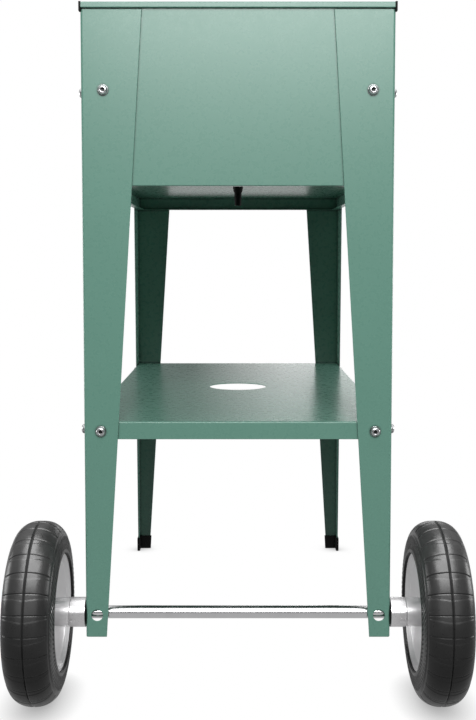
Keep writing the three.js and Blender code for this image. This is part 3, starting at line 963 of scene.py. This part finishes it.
def paint_crevice_shade(tree, socket, reach, darkest, closed):
    """Paints shade into a colour: multiplies it by how open the surface is, within a short reach, so creases
    and recesses come out darker.
    """
    open_sky = tree.nodes.new("ShaderNodeAmbientOcclusion")
    open_sky.inputs["Distance"].default_value = reach
    shade = spread(tree, open_sky.outputs["AO"], darkest, 1.0, closed, 0.95)
    mix = tree.nodes.new("ShaderNodeVectorMath")
    mix.operation = "SCALE"
    source = socket.links[0].from_socket
    tree.links.new(source, mix.inputs[0])
    tree.links.new(shade, mix.inputs["Scale"])
    tree.links.new(mix.outputs[0], socket)


def surface(
    name, colour, vary, roughness, metallic=0.0, peel=None, stretch=None, cloud=9.0, ior=1.5, painted_crevice_shade=None
):
    """A shader with cloudy colour and uneven roughness. Fine relief and painted shade in crevices are
    optional.
    """
    material, tree, shader = new_material(name)
    shader.inputs["Metallic"].default_value = metallic
    shader.inputs["IOR"].default_value = ior
    clouds = noise(tree, cloud, 3.0)
    tint(tree, clouds, scaled(colour, 1 - vary), scaled(colour, 1 + vary), shader.inputs["Base Color"])
    # painted shade: the base colour is darkened wherever ambient occlusion finds the surface closed in
    if painted_crevice_shade:
        paint_crevice_shade(tree, shader.inputs["Base Color"], *painted_crevice_shade)
    fine = noise(tree, 160.0, 3.0, 0.6, stretch)
    tree.links.new(spread(tree, fine, roughness[0], roughness[1]), shader.inputs["Roughness"])
    if peel:
        scale, distance = peel
        relief = bump(tree, noise(tree, scale, 2.0, 0.5, stretch), distance)
        tree.links.new(relief, shader.inputs["Normal"])
    return material


# The coat's colour carries painted shade: it darkens within 4 mm of creases, such as under the rim's hem.
COAT = surface("powder_coat", (0.16, 0.35, 0.275), 0.02, (0.26, 0.3), painted_crevice_shade=(0.004, 0.15, 0.35))
# The zinc's colour carries painted shade: it darkens within 5 mm of recesses, such as the bolts' hex sockets.
ZINC = surface(
    "zinc_plate", (0.6, 0.61, 0.62), 0.05, (0.14, 0.22), 1.0, cloud=150.0, painted_crevice_shade=(0.005, 0.04, 0.6)
)
CHROME = surface("polished_plate", (0.8, 0.8, 0.81), 0.03, (0.12, 0.2), 1.0, cloud=60.0)
SPACER_STEEL = surface(
    "turned_metal", (0.84, 0.83, 0.84), 0.03, (0.26, 0.34), 1.0, stretch=(9.0, 1.0, 1.0), cloud=80.0
)
TYRE_RUBBER = surface("tyre_rubber", (0.012, 0.012, 0.012), 0.2, (0.26, 0.36), cloud=25.0, ior=1.34)
RUBBER = surface("seal_rubber", (0.02, 0.02, 0.02), 0.2, (0.5, 0.65), peel=(900.0, 0.00004), cloud=40.0)
RIM_GREY = surface("silver_plastic", (0.8, 0.79, 0.8), 0.04, (0.28, 0.34), 0.55, cloud=30.0)
BLACK = surface(
    "black_plastic", (0.005, 0.005, 0.005), 0.2, (0.5, 0.6), peel=(1100.0, 0.00004), cloud=60.0, ior=1.22
)
NYLON = surface("nylon", (0.62, 0.6, 0.55), 0.04, (0.4, 0.5), peel=(700.0, 0.00003), cloud=60.0)


# ---- building the trolley ----
SIDES = (("left", -1), ("right", 1))


def build():
    add_walls()
    inside = PANEL_IN + PANEL_SHEET + 2 * GAP
    add_tray("planter_floor", HALF_ACROSS - inside, HALF_ALONG - inside, FLOOR_TOP_Z, DRAIN_HOLE)
    add_tray("shelf", HALF_ACROSS - PANEL_IN, HALF_ALONG - PANEL_IN, SHELF_TOP_Z, SHELF_HOLE)
    add_drain()
    add_axle()
    add_bolts()
    for side_name, side in SIDES:
        for end in ("front", "rear"):
            add_leg(side_name, side, end)
            add_rim_cap(side_name, side, end)
        add_foot(side_name, side)
        add_axle_fittings(side_name, side)
        add_rim(side_name, side)
        add_tyre(side_name, side)


build()


# ---- floor, light and camera ----
def kept_for(tree, kind, shown, otherwise):
    """Shows one shader to one kind of ray and another to the rest."""
    path = tree.nodes.new("ShaderNodeLightPath")
    mix = tree.nodes.new("ShaderNodeMixShader")
    tree.links.new(path.outputs[kind], mix.inputs["Fac"])
    tree.links.new(otherwise, mix.inputs[1])
    tree.links.new(shown, mix.inputs[2])
    return mix.outputs["Shader"]


def add_sheet_of_stage(name, corners):
    mesh = bpy.data.meshes.new(name)
    mesh.from_pydata(corners, [], [(0, 1, 2, 3)])
    sheet = bpy.data.objects.new(name, mesh)
    bpy.context.scene.collection.objects.link(sheet)
    material = bpy.data.materials.new(name)
    material.use_nodes = True
    material.node_tree.nodes.remove(material.node_tree.nodes["Principled BSDF"])
    mesh.materials.append(material)
    return sheet, material.node_tree


FLOOR_GREY = 0.12
FLOOR_HALF = 6.0
CONTACT_REACH = 0.032


def add_floor():
    """White to the camera, with a painted contact shadow where something nearly touches it. Mirrored, it
    glows, most far behind the trolley and least far in front of it. To every other ray it is a plain grey
    floor."""
    half = FLOOR_HALF
    corners = [(-half, -half, 0), (half, -half, 0), (half, half, 0), (-half, half, 0)]
    _, tree = add_sheet_of_stage("studio_floor", corners)
    # painted contact shadow: ambient occlusion dims the floor's glow to the camera where the wheels and feet
    # nearly touch it
    painted_contact_shadow = tree.nodes.new("ShaderNodeAmbientOcclusion")
    painted_contact_shadow.inputs["Distance"].default_value = CONTACT_REACH
    glow = tree.nodes.new("ShaderNodeEmission")
    tree.links.new(spread(tree, painted_contact_shadow.outputs["AO"], 0.35, 1.0, 0.0, 0.95), glow.inputs["Strength"])
    grey = tree.nodes.new("ShaderNodeBsdfDiffuse")
    grey.inputs["Color"].default_value = (FLOOR_GREY, FLOOR_GREY, FLOOR_GREY, 1)
    shine = tree.nodes.new("ShaderNodeEmission")
    split = tree.nodes.new("ShaderNodeSeparateXYZ")
    tree.links.new(tree.nodes.new("ShaderNodeTexCoord").outputs["Object"], split.inputs[0])
    behind = spread(tree, split.outputs["Y"], 0.47, 0.9, 0.5, 1.8)
    ahead = spread(tree, split.outputs["Y"], 0.4, 1.0, -2.6, -1.2)
    tree.links.new(times(tree, behind, ahead), shine.inputs["Strength"])
    mirrored = kept_for(tree, "Is Glossy Ray", shine.outputs[0], grey.outputs[0])
    seen = kept_for(tree, "Is Camera Ray", glow.outputs[0], mirrored)
    tree.links.new(seen, tree.nodes["Material Output"].inputs["Surface"])
    bpy.data.materials["studio_floor"].cycles.emission_sampling = "NONE"


BACKDROP_Y = 3.2


def add_glow(name, depth, low_x, high_x, low_z, high_z, strength):
    """An upright glowing sheet behind the trolley, soft at its edges, that the camera doesn't see."""
    reach = 4
    corners = [(-reach, depth, 0.15), (reach, depth, 0.15), (reach, depth, 3), (-reach, depth, 3)]
    wall, tree = add_sheet_of_stage(name, corners)
    wall.visible_camera = False
    split = tree.nodes.new("ShaderNodeSeparateXYZ")
    tree.links.new(tree.nodes.new("ShaderNodeTexCoord").outputs["Object"], split.inputs[0])
    glow = tree.nodes.new("ShaderNodeEmission")
    right = spread(tree, split.outputs["X"], 0.0, 1.0, low_x[0], low_x[1])
    left = spread(tree, split.outputs["X"], 1.0, 0.0, high_x[0], high_x[1])
    below = spread(tree, split.outputs["Z"], 0.0, 1.0, low_z[0], low_z[1])
    above = spread(tree, split.outputs["Z"], strength, 0.0, high_z[0], high_z[1])
    patch = times(tree, times(tree, right, left), times(tree, below, above))
    tree.links.new(patch, glow.inputs["Strength"])
    clear = tree.nodes.new("ShaderNodeBsdfTransparent")
    both = tree.nodes.new("ShaderNodeAddShader")
    tree.links.new(glow.outputs[0], both.inputs[0])
    tree.links.new(clear.outputs[0], both.inputs[1])
    tree.links.new(both.outputs[0], tree.nodes["Material Output"].inputs["Surface"])


def times(tree, a, b):
    node = tree.nodes.new("ShaderNodeMath")
    node.operation = "MULTIPLY"
    tree.links.new(a, node.inputs[0])
    tree.links.new(b, node.inputs[1])
    return node.outputs[0]


def add_softbox(name, centre, target, width, height, radiance):
    """An area light of the given radiance, aimed at a point, that the camera doesn't see."""
    data = bpy.data.lights.new(name, "AREA")
    data.shape = "RECTANGLE"
    data.size = width
    data.size_y = height
    data.energy = radiance * math.pi * width * height
    light = bpy.data.objects.new(name, data)
    light.location = centre
    light.rotation_euler = (Vector(target) - Vector(centre)).to_track_quat("-Z", "Y").to_euler()
    light.visible_camera = False
    bpy.context.scene.collection.objects.link(light)
    return light


def aim_only(light, pieces, state):
    """Makes a light reach just these pieces ("INCLUDE") or every piece but these ("EXCLUDE")."""
    group = bpy.data.collections.new(f"{light.name}_pieces")
    for piece in pieces:
        group.objects.link(bpy.data.objects[piece])
    light.light_linking.receiver_collection = group
    for item in group.collection_objects:
        item.light_linking.link_state = state


def add_world():
    world = bpy.data.worlds.new("studio")
    world.use_nodes = True
    bpy.context.scene.world = world
    tree = world.node_tree
    split = tree.nodes.new("ShaderNodeSeparateXYZ")
    tree.links.new(tree.nodes.new("ShaderNodeTexCoord").outputs["Generated"], split.inputs[0])
    soft = backing(tree, spread(tree, split.outputs["Z"], 0.03, 0.1, 0.2, 0.9))
    mirrored = backing(tree, spread(tree, split.outputs["Z"], 0.18, 0.8, 0.14, 0.6))
    rest = kept_for(tree, "Is Glossy Ray", mirrored, soft)
    seen = kept_for(tree, "Is Camera Ray", backing(tree, None), rest)
    tree.links.new(seen, tree.nodes["World Output"].inputs["Surface"])
    world.cycles.sampling_method = "NONE"


def backing(tree, strength):
    node = tree.nodes.new("ShaderNodeBackground")
    node.inputs["Color"].default_value = (1, 1, 1, 1)
    if strength:
        tree.links.new(strength, node.inputs["Strength"])
    return node.outputs["Background"]


SENSOR = 36
LENS = 53.05
CAMERA_BACK = 1.1745
CAMERA_HEIGHT = 0.5097
CAMERA_TILT = 3.88
CAMERA_SHIFT = -0.0467


def add_camera():
    data = bpy.data.cameras.new("camera")
    data.sensor_width = SENSOR
    data.lens = LENS
    data.shift_y = CAMERA_SHIFT
    data.clip_start = 0.01
    camera = bpy.data.objects.new("camera", data)
    camera.location = (0, FRONT_Y * MM - CAMERA_BACK, CAMERA_HEIGHT)
    camera.rotation_euler = (math.radians(90 - CAMERA_TILT), 0, 0)
    bpy.context.scene.collection.objects.link(camera)
    bpy.context.scene.camera = camera


REAR_END = ["coated_rear_left_leg", "coated_rear_right_leg", "coated_rear_panel"]
TYRES = ["moulded_left_tyre", "moulded_right_tyre"]


def add_lights():
    """The front lights and the ceiling's front half miss the rear end. The tyres have their own lights."""
    key = add_softbox("front_softbox", (0.1, -2.4, 1.6), (0, 0, 0.5), 1.3, 0.95, 11.2)
    fill = add_softbox("front_fill", (0.05, -2.4, 0.9), (0, 0, 0.5), 0.9, 0.6, 0.6)
    for light in (key, fill):
        aim_only(light, REAR_END + TYRES, "EXCLUDE")
    roof = add_softbox("ceiling_front", (0.0, -1.75, 2.6), (0, -0.9, 0), 3.0, 1.7, 0.35)
    aim_only(roof, REAR_END, "EXCLUDE")
    add_softbox("ceiling_back", (0.0, 0.0, 2.6), (0, 0.01, 0), 3.0, 1.8, 1)
    over = add_softbox("wheel_light", (0.0, -0.5, 1.7), (0, -0.35, 0), 1.6, 2.3, 13)
    ahead = add_softbox("wheel_front", (0.0, -1.7, 0.75), (0, -0.37, 0.1), 2.2, 1.0, 1.8)
    for light in (over, ahead):
        aim_only(light, TYRES, "INCLUDE")
    for _, side in SIDES:
        add_softbox("side_softbox", (side * 2.3, 0.5, 0.5), (0, -0.27, 0.15), 1.2, 0.8, 6)


add_floor()
add_glow("studio_glow_right", BACKDROP_Y, (-0.2, 0.22), (0.8, 1.3), (0.4, 0.52), (0.64, 0.82), 3.6)
add_world()
add_lights()
add_camera()
bpy.context.scene.view_settings.view_transform = "Standard"
